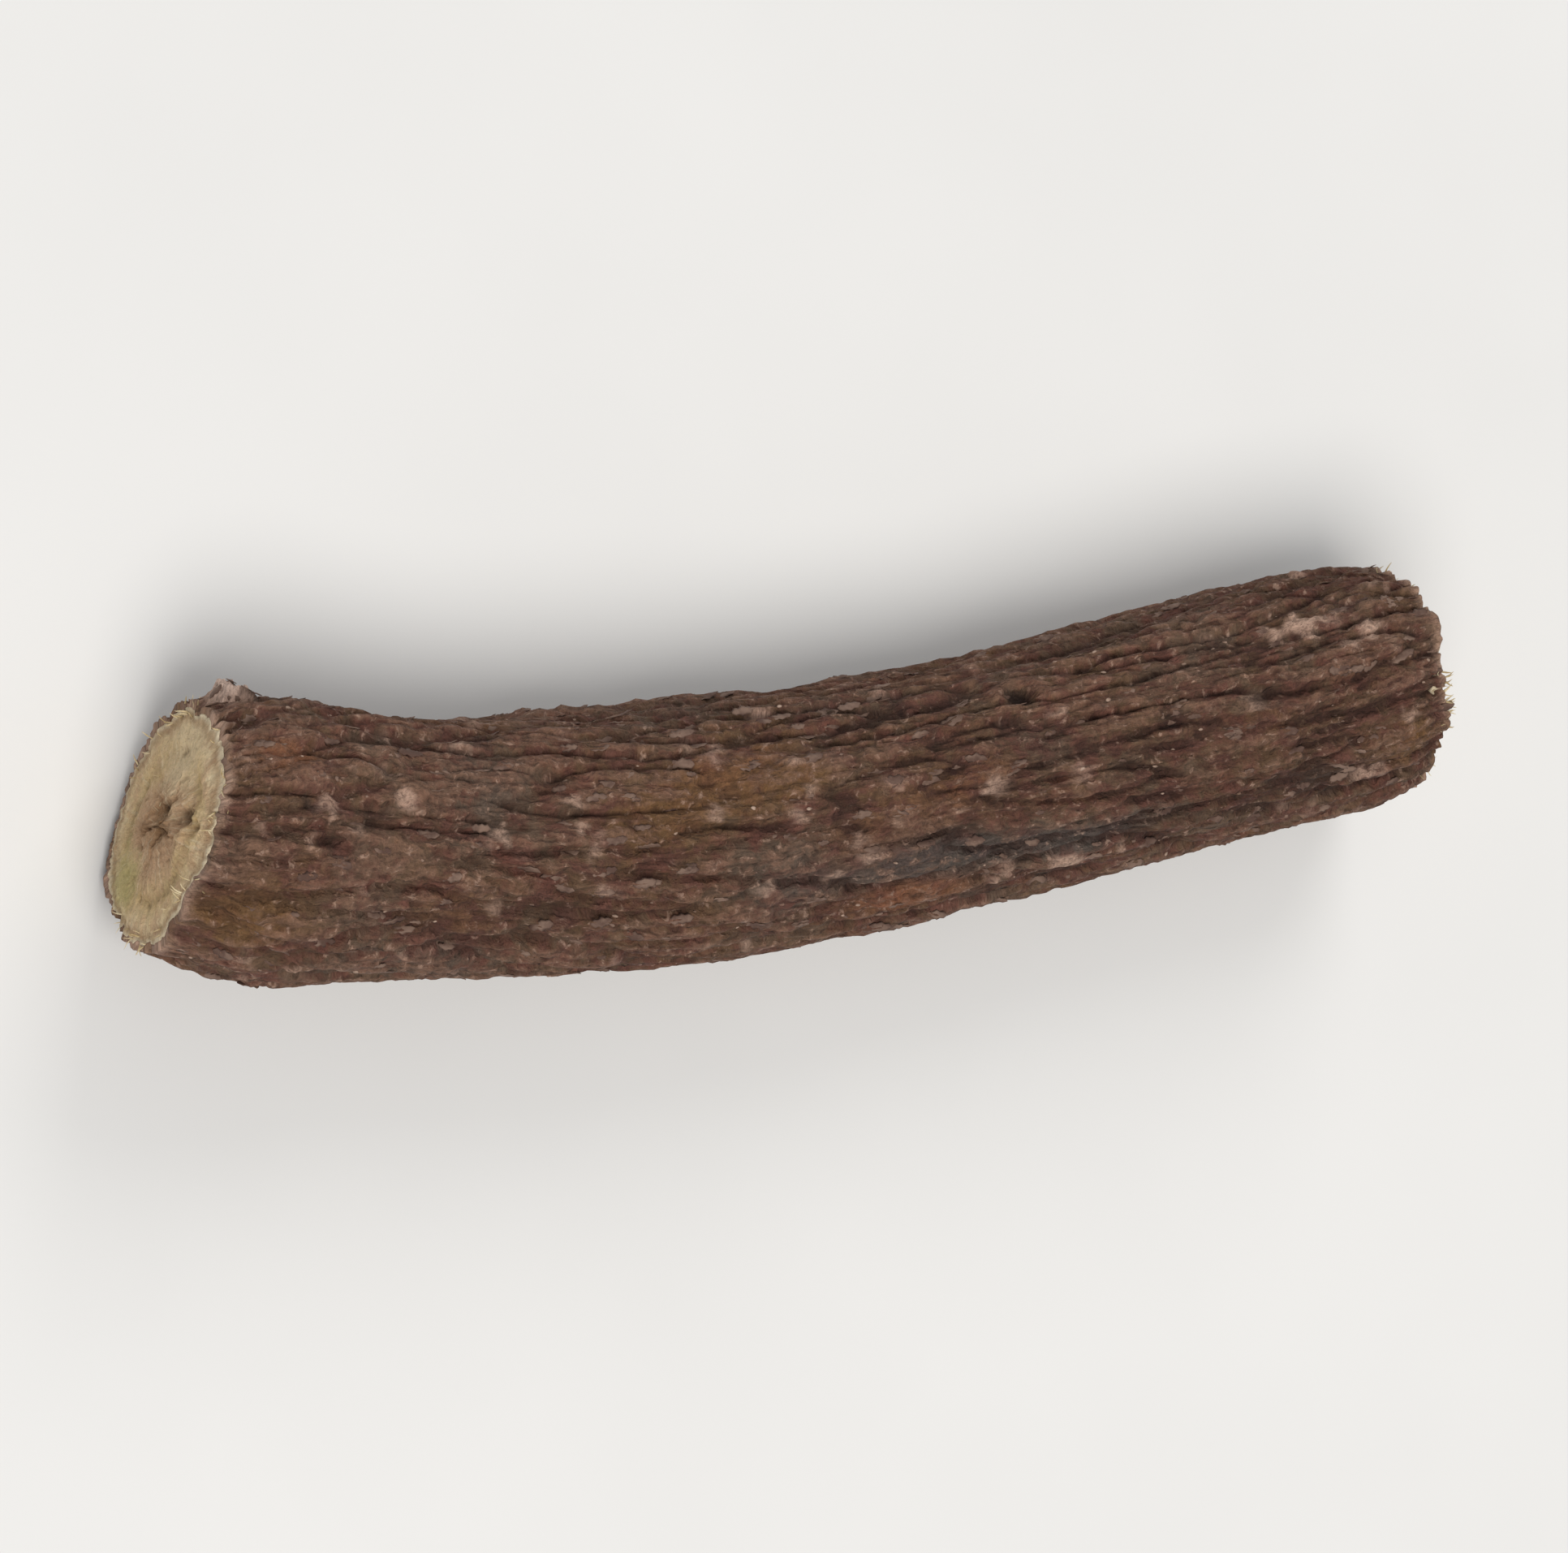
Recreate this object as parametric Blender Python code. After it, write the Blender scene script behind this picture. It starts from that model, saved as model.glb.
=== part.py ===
# A cut piece of licorice root, unpeeled and a little bent, lying on a flat surface.
# Metres, +Z up. The root runs along X with its thick end at -X, and bulges towards -Y.
import math

import bmesh
import bpy
from mathutils import Vector, noise

MM = 0.001

# Driving dimensions
CHORD = 71.7 * MM  # straight distance between the middles of the two cut faces
BOW = 3.75 * MM  # how far the root bends sideways from that line
BOW_EARLY = 0.46  # share of the bow that is strongest a third of the way along
THICK_RADIUS = 6.78 * MM  # mean radius near the thick end
THIN_RADIUS = 6.28 * MM  # mean radius near the thin end
THICK_REST = 7.34 * MM  # height of the centreline above the surface at the thick end
THIN_REST = 6.66 * MM  # and at the thin end

# Swellings and necks along the root: place as a share of its length, reach as a share, height
SWELLINGS = (
    (0.080, 0.050, 0.46 * MM),  # the knuckle behind the thick end's cut
    (0.235, 0.070, -0.18 * MM),
    (0.420, 0.090, 0.22 * MM),
    (0.640, 0.060, -0.12 * MM),
    (0.900, 0.050, 0.16 * MM),
)
END_ROUNDING = 0.45 * MM  # how far the bark draws in at each cut
END_REACH = 1.6 * MM  # over this length

# Bark relief: cell width round the root, cell length along it, height, place in the noise
LOBES = (6.5 * MM, 55.0 * MM, 0.60 * MM, 8.8)
WAVES = (3.1 * MM, 17.0 * MM, 0.42 * MM, 37.9)
WRINKLES = (1.30 * MM, 9.5 * MM, 0.60 * MM, 11.3)
CREASES = (0.95 * MM, 5.0 * MM, 0.24 * MM, 23.9)
FURROW_WIDTH = 0.11  # noise value at which a furrow is half as deep as its middle
FURROW_LEVEL = 0.60  # share of a furrow's depth that keeps the root's mean radius
TWIST = 0.35  # radians that the wrinkles wander round the root
TWIST_TURNS = 3.0  # times that they change their way along it

# Scars where rootlets broke off: place along the root, angle from the top towards -Y in degrees,
# radius of the raised lip, its height, depth of the pit in it
ROOTLET_SCARS = (
    (0.658, -40.0, 1.00 * MM, 0.28 * MM, 0.75 * MM),
    (0.142, -16.0, 0.80 * MM, 0.30 * MM, 0.08 * MM),
    (0.083, 2.0, 0.85 * MM, 0.25 * MM, 0.40 * MM),
    (0.445, 132.0, 1.30 * MM, 0.45 * MM, 0.60 * MM),
    (0.830, -128.0, 1.15 * MM, 0.40 * MM, 0.65 * MM),
    (0.300, -95.0, 0.90 * MM, 0.35 * MM, 0.45 * MM),
)
SCAR_STRETCH = 0.75  # under 1, a scar is longer along the root than round it
SCAR_LIP = (0.90, 0.45)  # the lip's place and reach, as shares of the scar's radius
SCAR_PIT = 0.55  # reach of the pit as such a share

# A flake of bark that stands up behind the thick end's cut, with the same first two values
FLAKE = {"place": 0.034, "degrees": -84.0, "along": 1.0 * MM, "around": 0.75 * MM, "height": 0.85 * MM}

# Rubbed spots that the root lies on: places as shares of its length
RESTS = (0.090, 0.445, 0.895)
REST_REACH = 5.0 * MM  # along the root
REST_ANGLE = 0.5  # round the root, in radians
REST_DEPTH = 0.16 * MM  # how far the bark would go into the surface if it weren't rubbed flat

# Cut faces
WOOD_SHARE = 0.955  # the wood's edge as a share of the radius; bark lies outside it
WOOD_ROUNDNESS = 5  # how soon the furrows of the bark die away towards the pith
CAMBIUM_SHARE = 0.62  # the ring where the wood changes colour
CAMBIUM_WIDTH = 0.08
CAMBIUM_GROOVE = 0.16 * MM
FACE_DOME = 0.32 * MM
FACE_ROUGHNESS = 0.26 * MM
FACE_BUMPS = 3.2  # bumps across the face's radius
RIM_TEETH = 0.34 * MM  # how far the torn rim stands out and draws back
RIM_TOOTH_WIDTH = 1.5 * MM
TORN_SHARE = 0.80  # the face is torn outside this share of the radius
PITH_CRACK_DEPTH = 0.80 * MM
PITH_CRACK_REACH = 0.40  # length of the crack's arms as a share of the radius
PITH_CRACK_WIDTH = 0.45  # how broad an arm is against the gap to the next one
THICK_CUT = {"side": -1, "tilt": 6.5, "tilt_way": 100.0, "arms": 5, "first_arm": 24.0}
THIN_CUT = {"side": 1, "tilt": 4.0, "tilt_way": -80.0, "arms": 3, "first_arm": 36.0}

# Mesh
AROUND = 120  # points round the bark; halved three times on the way to a cut face's middle
SECTIONS = 40  # stretches along the root
SECTION_CROWDING = 0.070  # how much closer together they are at the cuts
FACE_RINGS = (
    (WOOD_SHARE, 1), (0.90, 1), (0.78, 2), (CAMBIUM_SHARE, 2), (0.49, 2), (0.35, 4), (0.21, 4), (0.09, 8),
)
SHARP_EDGE = 50.0  # degrees

BARK_COLOUR = (0.125, 0.068, 0.048, 1.0)
BARK_GLOSS = 0.85
WOOD_COLOUR = (0.48, 0.37, 0.17, 1.0)
WOOD_GLOSS = 0.90


def clear_scene():
    for obj in list(bpy.data.objects):
        bpy.data.objects.remove(obj)


def make_material(name, colour, roughness):
    material = bpy.data.materials.new(name)
    material.use_nodes = True
    shader = material.node_tree.nodes["Principled BSDF"]
    shader.inputs["Base Color"].default_value = colour
    shader.inputs["Roughness"].default_value = roughness
    shader.inputs["Metallic"].default_value = 0.0
    return material


def bell(value, reach):
    """1 where value is 0, and falling smoothly to nothing past the reach."""
    return math.exp(-((value / reach) ** 2))


def around_from(angle, degrees):
    """The angle between two places round the root, from -pi to pi."""
    return math.remainder(angle - math.radians(degrees), math.tau)


def bend(share):
    """Sideways place of the centreline, and its slope against the share of the length."""
    even = math.sin(math.pi * share)
    even_slope = math.pi * math.cos(math.pi * share)
    early = 6.75 * share * (1 - share) ** 2  # 1 at its highest, a third of the way along
    early_slope = 6.75 * (1 - share) * (1 - 3 * share)
    place = -BOW * (even + BOW_EARLY * (early - even))
    return place, -BOW * (even_slope + BOW_EARLY * (early_slope - even_slope))


def station(share):
    """The centreline's point, and the tangent, side and up directions there."""
    y, y_slope = bend(share)
    z = THICK_REST + (THIN_REST - THICK_REST) * share
    middle = Vector(((share - 0.5) * CHORD, y, z))
    tangent = Vector((CHORD, y_slope, THIN_REST - THICK_REST)).normalized()
    side = Vector((tangent.y, -tangent.x, 0)).normalized()
    return middle, tangent, side, side.cross(tangent)


def base_radius(share):
    radius = THICK_RADIUS + (THIN_RADIUS - THICK_RADIUS) * share
    for place, reach, height in SWELLINGS:
        radius += height * bell(share - place, reach)
    return radius - END_ROUNDING * bell(min(share, 1 - share) * CHORD, END_REACH)


def straightened(share, angle):
    """A point of the bark as it would lie on a straight, even root. All relief is drawn there."""
    angle += TWIST * noise.noise(Vector((share * TWIST_TURNS, 4.0, 9.0)))
    radius = (THICK_RADIUS + THIN_RADIUS) / 2
    return Vector((share * CHORD, radius * math.sin(angle), radius * math.cos(angle)))


def stretched_noise(point, cell):
    width, length, height, offset = cell
    return noise.noise(Vector((point.x / length + offset, point.y / width, point.z / width)))


def furrows(point, cell):
    """Furrows with flat ridges between them."""
    value = stretched_noise(point, cell) ** 2
    return cell[2] * (value / (value + FURROW_WIDTH**2) - FURROW_LEVEL)


def scar_relief(share, angle):
    relief = 0.0
    for place, degrees, radius, lip, pit in ROOTLET_SCARS:
        along = (share - place) * CHORD * SCAR_STRETCH
        distance = math.hypot(along, around_from(angle, degrees) * THIN_RADIUS) / radius
        relief += lip * bell(distance - SCAR_LIP[0], SCAR_LIP[1])
        relief -= pit * bell(distance, SCAR_PIT)
    return relief


def flake_relief(share, angle):
    along = bell((share - FLAKE["place"]) * CHORD, FLAKE["along"])
    around = bell(around_from(angle, FLAKE["degrees"]) * THICK_RADIUS, FLAKE["around"])
    return FLAKE["height"] * along * around


def rubbed(share, angle):
    """1 in the middle of a spot that the root lies on, 0 away from it."""
    nearest = min(abs(share - place) for place in RESTS)
    return bell(nearest * CHORD, REST_REACH) * bell(around_from(angle, 180.0), REST_ANGLE)


def bark_relief(share, angle):
    point = straightened(share, angle)
    relief = LOBES[2] * stretched_noise(point, LOBES) + WAVES[2] * stretched_noise(point, WAVES)
    relief += furrows(point, WRINKLES) + furrows(point, CREASES) + scar_relief(share, angle)
    return relief * (1 - rubbed(share, angle)) + flake_relief(share, angle)


def rim_teeth(cut, angle):
    """Ragged outline of the cut along the root, where bark and fibres tore."""
    around = Vector((math.sin(angle), math.cos(angle), cut["side"])) * THIN_RADIUS / RIM_TOOTH_WIDTH
    return RIM_TEETH * (noise.noise(around) + noise.noise(around / 3))


def pith_crack(cut, share, angle):
    """A star of cracks round the pith, its arms of uneven length."""
    from_arm = around_from(angle * cut["arms"], cut["first_arm"] * cut["arms"]) / math.pi
    on_arm = bell(from_arm, PITH_CRACK_WIDTH) if share > 0 else 1.0
    uneven = 1 + 0.5 * noise.noise(Vector((math.sin(angle), math.cos(angle), cut["side"] * 4.5)))
    return PITH_CRACK_DEPTH * on_arm * math.exp(-((share / PITH_CRACK_REACH / uneven) ** 4))


def face_height(cut, share, angle):
    """How far a point of the cut face stands out along the root."""
    flat = Vector((share * math.sin(angle), share * math.cos(angle), cut["side"]))
    height = FACE_DOME * (1 - share**2) + FACE_ROUGHNESS * noise.noise(flat * FACE_BUMPS)
    height -= CAMBIUM_GROOVE * bell(share - CAMBIUM_SHARE, CAMBIUM_WIDTH) + pith_crack(cut, share, angle)
    torn = max(0.0, (share - TORN_SHARE) / (1 - TORN_SHARE))
    return height + torn * rim_teeth(cut, angle)


def cut_shift(cut, share, angle, radius):
    """How far along the root a point of the cut lies, counted outwards. No cut is quite square."""
    slope = math.tan(math.radians(cut["tilt"])) * math.cos(angle - math.radians(cut["tilt_way"]))
    return slope * share * radius + face_height(cut, share, angle)


def placed(share, angle, distance, shift):
    """A point at this distance from the centreline, and not below the surface that the root lies on."""
    middle, tangent, side, up = station(share)
    outwards = side * math.sin(angle) + up * math.cos(angle)
    point = middle + tangent * shift + outwards * distance
    resting = rubbed(share, angle)
    point.z = max(point.z * (1 - resting) - REST_DEPTH * resting, 0.0)
    return point


def bark_point(share, angle):
    radius = base_radius(share) + bark_relief(share, angle)
    thick = math.exp(-share * CHORD / END_REACH) * cut_shift(THICK_CUT, 1.0, angle, radius)
    thin = math.exp(-(1 - share) * CHORD / END_REACH) * cut_shift(THIN_CUT, 1.0, angle, radius)
    return placed(share, angle, radius, thin - thick)


def face_point(cut, share, angle):
    end = 0.0 if cut is THICK_CUT else 1.0
    radius = base_radius(end) + bark_relief(end, angle) * share**WOOD_ROUNDNESS
    return placed(end, angle, share * radius, cut["side"] * cut_shift(cut, share, angle, radius))


def section_shares():
    """Places of the sections, closer together at the two cuts."""
    even = [i / SECTIONS for i in range(SECTIONS + 1)]
    return [share - SECTION_CROWDING * math.sin(math.tau * share) for share in even]


def ring_of(mesh, count, place):
    return [mesh.verts.new(place(math.tau * i / count)) for i in range(count)]


def join_rings(mesh, outer, inner, material_index):
    """Faces between two rings that start at one angle; the inner ring may have half the points."""
    faces = []
    for i, point in enumerate(inner):
        following = inner[(i + 1) % len(inner)]
        if len(inner) == len(outer):
            faces.append((outer[i], outer[(i + 1) % len(outer)], following, point))
        else:
            first, middle, last = outer[2 * i], outer[2 * i + 1], outer[(2 * i + 2) % len(outer)]
            faces.extend(((first, middle, point), (middle, following, point), (middle, last, following)))
    for corners in faces:
        mesh.faces.new(corners).material_index = material_index


def close_with_cut(mesh, rim, cut):
    """Covers one end of the bark with its cut face, ring by ring to the pith."""
    outer = rim
    for share, fewer in FACE_RINGS:
        inner = ring_of(mesh, AROUND // fewer, lambda angle: face_point(cut, share, angle))
        join_rings(mesh, outer, inner, 0 if share >= WOOD_SHARE else 1)
        outer = inner
    pith = mesh.verts.new(face_point(cut, 0.0, 0.0))
    for i, point in enumerate(outer):
        mesh.faces.new((point, outer[(i + 1) % len(outer)], pith)).material_index = 1


def centre_over_origin(mesh):
    """Moves the root sideways, so that the middle of its bounding box is over the origin."""
    for axis in (0, 1):
        places = [vertex.co[axis] for vertex in mesh.verts]
        middle = (min(places) + max(places)) / 2
        for vertex in mesh.verts:
            vertex.co[axis] -= middle


def build_root():
    mesh = bmesh.new()
    rings = [ring_of(mesh, AROUND, lambda angle: bark_point(share, angle)) for share in section_shares()]
    for near, far in zip(rings, rings[1:]):
        join_rings(mesh, near, far, 0)
    close_with_cut(mesh, rings[0], THICK_CUT)
    close_with_cut(mesh, rings[-1], THIN_CUT)
    bmesh.ops.recalc_face_normals(mesh, faces=mesh.faces)
    centre_over_origin(mesh)
    data = bpy.data.meshes.new("licorice_root")
    mesh.to_mesh(data)
    mesh.free()
    data.materials.append(make_material("bark", BARK_COLOUR, BARK_GLOSS))
    data.materials.append(make_material("cut_wood", WOOD_COLOUR, WOOD_GLOSS))
    data.shade_smooth()
    data.set_sharp_from_angle(angle=math.radians(SHARP_EDGE))
    root = bpy.data.objects.new("licorice_root", data)
    bpy.context.scene.collection.objects.link(root)


def main():
    clear_scene()
    build_root()


main()
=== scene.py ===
import random
from math import cos, exp, hypot, pi, radians, remainder, sin, tan, tau

import bmesh
import bpy
import numpy as np
from mathutils import Matrix, Vector
from mathutils.noise import noise


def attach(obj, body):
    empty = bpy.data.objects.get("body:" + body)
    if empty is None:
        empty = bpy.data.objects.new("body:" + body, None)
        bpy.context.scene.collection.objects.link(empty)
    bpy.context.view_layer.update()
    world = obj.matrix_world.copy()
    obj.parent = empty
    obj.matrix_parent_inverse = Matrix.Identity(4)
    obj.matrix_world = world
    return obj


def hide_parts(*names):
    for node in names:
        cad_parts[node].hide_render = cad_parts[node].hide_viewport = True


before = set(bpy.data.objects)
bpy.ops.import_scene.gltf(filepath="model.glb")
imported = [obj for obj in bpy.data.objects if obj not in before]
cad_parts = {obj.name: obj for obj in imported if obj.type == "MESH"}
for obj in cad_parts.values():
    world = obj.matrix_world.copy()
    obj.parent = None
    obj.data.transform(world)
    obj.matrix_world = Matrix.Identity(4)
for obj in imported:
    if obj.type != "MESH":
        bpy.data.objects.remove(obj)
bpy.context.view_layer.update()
print("frame loaded")

rootForm = {  # metres, as in the solid
    "chord": 0.0717,  # between the middles of the two cuts
    "bow": 0.00375,
    "bowEarly": 0.46,
    "radius": (0.00678, 0.00628),  # at the thick and the thin end
    "rest": (0.00734, 0.00666),  # height of the centreline there
    "swellings": (  # place, reach, height
        (0.080, 0.050, 0.00046),
        (0.235, 0.070, -0.00018),
        (0.420, 0.090, 0.00022),
        (0.640, 0.060, -0.00012),
        (0.900, 0.050, 0.00016),
    ),
    "endRounding": 0.00045,
    "endReach": 0.0016,
    "restSpots": (0.090, 0.445, 0.895),
    "spotReach": 0.005,
    "spotAngle": 0.5,
    "spotDepth": 0.00016,
    "place": (0.00090, 0.00175),  # brings the middle of the root's box over the origin
}

barkRelief = {  # cell round the root, cell along it, height, place in the noise
    "lobes": (0.0065, 0.0550, 0.00060, 8.8),
    "waves": (0.0031, 0.0170, 0.00042, 37.9),
    "wrinkles": (0.00130, 0.0095, 0.00060, 11.3),
    "creases": (0.00095, 0.0050, 0.00024, 23.9),
    "furrowWidth": 0.11,
    "furrowLevel": 0.60,
    "twist": 0.35,
    "twistTurns": 3.0,
    "scars": (  # place, degrees from the top, radius, lip, pit
        (0.658, -40.0, 0.00100, 0.00028, 0.00075),
        (0.142, -16.0, 0.00080, 0.00030, 0.00008),
        (0.083, 2.0, 0.00085, 0.00025, 0.00040),
        (0.445, 132.0, 0.00130, 0.00045, 0.00060),
        (0.830, -128.0, 0.00115, 0.00040, 0.00065),
        (0.300, -95.0, 0.00090, 0.00035, 0.00045),
    ),
    "scarStretch": 0.75,
    "scarLip": (0.90, 0.45),
    "scarPit": 0.55,
}

flap = {  # the scrap of torn bark beside the thick cut
    "place": 0.033,
    "degrees": -82.0,
    "reach": (0.00095, 0.00075),  # along and round the root
    "height": 0.00080,
    "softEdge": 0.09,
    "raggedness": (0.45, 1.4, 3.3),  # how far its edge wavers, how often, place in the noise
    "unevenness": (0.85, 0.5, 2.1),  # mean share of the height, how uneven, how often
    "slope": 0.15,
}

cutForm = {
    "woodRoundness": 11,
    "cambium": (0.62, 0.08, 0.00016),  # ring's place, width and depth
    "dome": 0.00032,
    "roughness": 0.00026,
    "bumps": 3.2,
    "teeth": (0.00034, 0.0015),  # height and width
    "teethStart": 0.80,  # share of the radius
    "fineTeeth": (0.35, 5),  # share of the height, and how much finer
    "broadTeeth": 3,  # how much broader
    "crack": (0.00070, 0.42),  # depth and reach of an arm
    "crackWidth": (0.03825, 0.07),  # an arm is as wide as the first over (the second + share of the radius)
    "crackBends": ((0.5, 2.6), (0.35, 9)),  # how far an arm bends, and how often
    "crackUnevenness": (0.9, 1.7, 4.5),  # of its reach: how much, how often, place in the noise
    "pits": (0.0009, 9.0, 0.32),  # depth, how many across the radius, how rare
    "pitted": (0.25, 0.35),  # the middle and width of the ring where they are
    "holeSquash": 0.7,
    "holeRaggedness": (0.5, 14),
    "holeLip": (0.3, 1.7, 0.5),  # height as a share of the hole's depth, place, width
}

thickCut = {
    "end": 0.0,
    "side": -1,
    "torn": 0.45,
    "tilt": 6.5,
    "tiltWay": 100.0,
    "arms": 5,
    "firstArm": 24.0,
    "star": 0.5,  # share of the crack's depth
    "tints": (  # sideways, up and reach in shares of the radius: where it is green, and where pale
        (0.42, -0.55, 0.34),
        (-0.60, 0.15, 0.42),
    ),
    "holes": (  # sideways and up, reach, depth
        (-0.15, 0.02, 0.075, 0.00050),
        (-0.05, 0.44, 0.090, 0.00060),
        (0.10, 0.04, 0.055, 0.00022),
        (0.04, 0.66, 0.060, 0.00030),
    ),
}

thinCut = {
    "end": 1.0,
    "side": 1,
    "torn": 1.0,
    "tilt": 4.0,
    "tiltWay": -80.0,
    "arms": 3,
    "firstArm": 36.0,
    "star": 0.8,
    "tints": ((0.30, -0.80, 0.12), (0.10, 0.62, 0.35)),
    "holes": (),
}


def bell(value, reach):
    return exp(-((value / reach) ** 2))


def aroundFrom(angle, degrees):
    return remainder(angle - radians(degrees), tau)


def awayFrom(share, angle, place, degrees, end):  # metres along and round the root, by its radius at an end
    around = aroundFrom(angle, degrees) * rootForm["radius"][end]
    return (share - place) * rootForm["chord"], around


def station(share):  # the centreline's point, with the directions along, sideways and up
    even, evenSlope = sin(pi * share), pi * cos(pi * share)
    # a bow whose middle lies nearer the thick end; 6.75 makes it 1 high
    early, earlySlope = 6.75 * share * (1 - share) ** 2, 6.75 * (1 - share) * (1 - 3 * share)
    y = -rootForm["bow"] * (even + rootForm["bowEarly"] * (early - even))
    ySlope = -rootForm["bow"] * (evenSlope + rootForm["bowEarly"] * (earlySlope - evenSlope))
    low, high = rootForm["rest"]
    middle = Vector(((share - 0.5) * rootForm["chord"], y, low + (high - low) * share))
    along = Vector((rootForm["chord"], ySlope, high - low)).normalized()
    side = Vector((along.y, -along.x, 0)).normalized()
    return middle, along, side, side.cross(along)


def baseRadius(share):
    thick, thin = rootForm["radius"]
    radius = thick + (thin - thick) * share
    for place, reach, height in rootForm["swellings"]:
        radius += height * bell(share - place, reach)
    fromEnd = min(share, 1 - share) * rootForm["chord"]
    return radius - rootForm["endRounding"] * bell(fromEnd, rootForm["endReach"])


def straightened(share, angle):  # where a point of the bark would lie on a straight, even root
    angle += barkRelief["twist"] * noise(Vector((share * barkRelief["twistTurns"], 4.0, 9.0)))
    radius = sum(rootForm["radius"]) / 2
    return Vector((share * rootForm["chord"], radius * sin(angle), radius * cos(angle)))


def stretchedNoise(point, cell):
    width, length, _, offset = cell
    return noise(Vector((point.x / length + offset, point.y / width, point.z / width)))


def furrows(point, cell):
    value = stretchedNoise(point, cell) ** 2
    return cell[2] * (value / (value + barkRelief["furrowWidth"] ** 2) - barkRelief["furrowLevel"])


def scarRelief(share, angle):
    relief = 0.0
    for place, degrees, radius, lip, pit in barkRelief["scars"]:
        along, around = awayFrom(share, angle, place, degrees, 1)
        distance = hypot(along * barkRelief["scarStretch"], around) / radius
        if distance < 4:
            relief += lip * bell(distance - barkRelief["scarLip"][0], barkRelief["scarLip"][1])
            relief -= pit * bell(distance, barkRelief["scarPit"])
    return relief


def rubbed(share, angle):  # 1 where the root lies on the floor
    nearest = min(abs(share - place) for place in rootForm["restSpots"])
    around = bell(aroundFrom(angle, 180.0), rootForm["spotAngle"])
    return around * bell(nearest * rootForm["chord"], rootForm["spotReach"])


def flapHeight(share, angle):
    along, around = awayFrom(share, angle, flap["place"], flap["degrees"], 0)
    along, around = along / flap["reach"][0], around / flap["reach"][1]
    away = max(abs(along), abs(around))
    if away > 3:
        return 0.0
    ragged, rate, offset = flap["raggedness"]
    spot = Vector((along * rate, around * rate, offset))
    outside = away + ragged * noise(spot) - 1
    mean, uneven, rate = flap["unevenness"]
    rise = mean + uneven * noise(spot * rate) - flap["slope"] * along
    return flap["height"] * rise / (1 + exp(min(outside / flap["softEdge"], 50)))


def barkLayers(share, angle):  # the broad swells of the bark, and its furrows and scars
    point = straightened(share, angle)
    swells = sum(cell[2] * stretchedNoise(point, cell) for cell in (barkRelief["lobes"], barkRelief["waves"]))
    grooves = furrows(point, barkRelief["wrinkles"]) + furrows(point, barkRelief["creases"])
    return swells, grooves + scarRelief(share, angle)


def barkHeight(share, angle):
    return sum(barkLayers(share, angle)) * (1 - rubbed(share, angle)) + flapHeight(share, angle)


def rimTeeth(cut, angle):
    height, width = cutForm["teeth"]
    fineHeight, finer = cutForm["fineTeeth"]
    around = Vector((sin(angle), cos(angle), cut["side"])) * rootForm["radius"][1] / width
    broadTeeth = noise(around / cutForm["broadTeeth"])
    return height * (noise(around) + broadTeeth + fineHeight * noise(around * finer))


def starDepth(cut, share, angle, flat):  # the crack in the middle of a cut, with its arms
    depth, reach = cutForm["crack"]
    bent = angle + sum(far * noise(flat * often) for far, often in cutForm["crackBends"])
    fromArm = aroundFrom(bent * cut["arms"], cut["firstArm"] * cut["arms"]) / pi
    uneven, rate, offset = cutForm["crackUnevenness"]
    reach *= 1 + uneven * noise(Vector((sin(angle) * rate, cos(angle) * rate, cut["side"] * offset)))
    width, middle = cutForm["crackWidth"]
    onArm = bell(fromArm, width / (middle + share)) if share > 0 else 1.0
    return cut["star"] * depth * onArm * exp(-((share / reach) ** 3))


def holeDepth(cut, flat):
    ragged, rate = cutForm["holeRaggedness"]
    lip, lipPlace, lipWidth = cutForm["holeLip"]
    total = 0.0
    for sideways, upwards, reach, depth in cut["holes"]:
        away = hypot(flat.x - sideways, (flat.y - upwards) * cutForm["holeSquash"]) / reach
        if away < 4:
            away *= 1 + ragged * noise(flat * rate)
            total += depth * (bell(away, 1.0) - lip * bell(away - lipPlace, lipWidth))
    return total


def faceHeight(cut, share, angle):
    flat = Vector((share * sin(angle), share * cos(angle), cut["side"]))
    height = cutForm["dome"] * (1 - share**2) + cutForm["roughness"] * noise(flat * cutForm["bumps"])
    place, width, depth = cutForm["cambium"]
    height -= depth * bell(share - place, width)
    height -= starDepth(cut, share, angle, flat) + holeDepth(cut, flat)
    depth, rate, rarity = cutForm["pits"]
    middle, width = cutForm["pitted"]
    height -= depth * max(0.0, noise(flat * rate) - rarity) * bell(share - middle, width)
    start = cutForm["teethStart"]
    return height + max(0.0, (share - start) / (1 - start)) * rimTeeth(cut, angle)


def cutShift(cut, share, angle, radius):
    slope = tan(radians(cut["tilt"])) * cos(angle - radians(cut["tiltWay"]))
    return slope * share * radius + faceHeight(cut, share, angle)


def placed(share, angle, distance, shift):
    middle, along, side, up = station(share)
    point = middle + along * shift + (side * sin(angle) + up * cos(angle)) * distance
    resting = rubbed(share, angle)
    point.z = max(point.z * (1 - resting) - rootForm["spotDepth"] * resting, 0.0)
    return point + Vector((*rootForm["place"], 0))


def barkPoint(share, angle, extra=0.0):
    radius = baseRadius(share) + barkHeight(share, angle) + extra
    shift = 0.0
    for cut in (thickCut, thinCut):
        away = abs(share - cut["end"]) * rootForm["chord"] / rootForm["endReach"]
        if away < 8:
            shift += cut["side"] * exp(-away) * cutShift(cut, 1.0, angle, radius)
    return placed(share, angle, radius, shift)


def facePoint(cut, share, angle, sunk=0.0):
    radius = baseRadius(cut["end"]) + barkHeight(cut["end"], angle) * share ** cutForm["woodRoundness"]
    shift = cutShift(cut, share, angle, radius) - sunk
    return placed(cut["end"], angle, share * radius, cut["side"] * shift)


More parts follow.
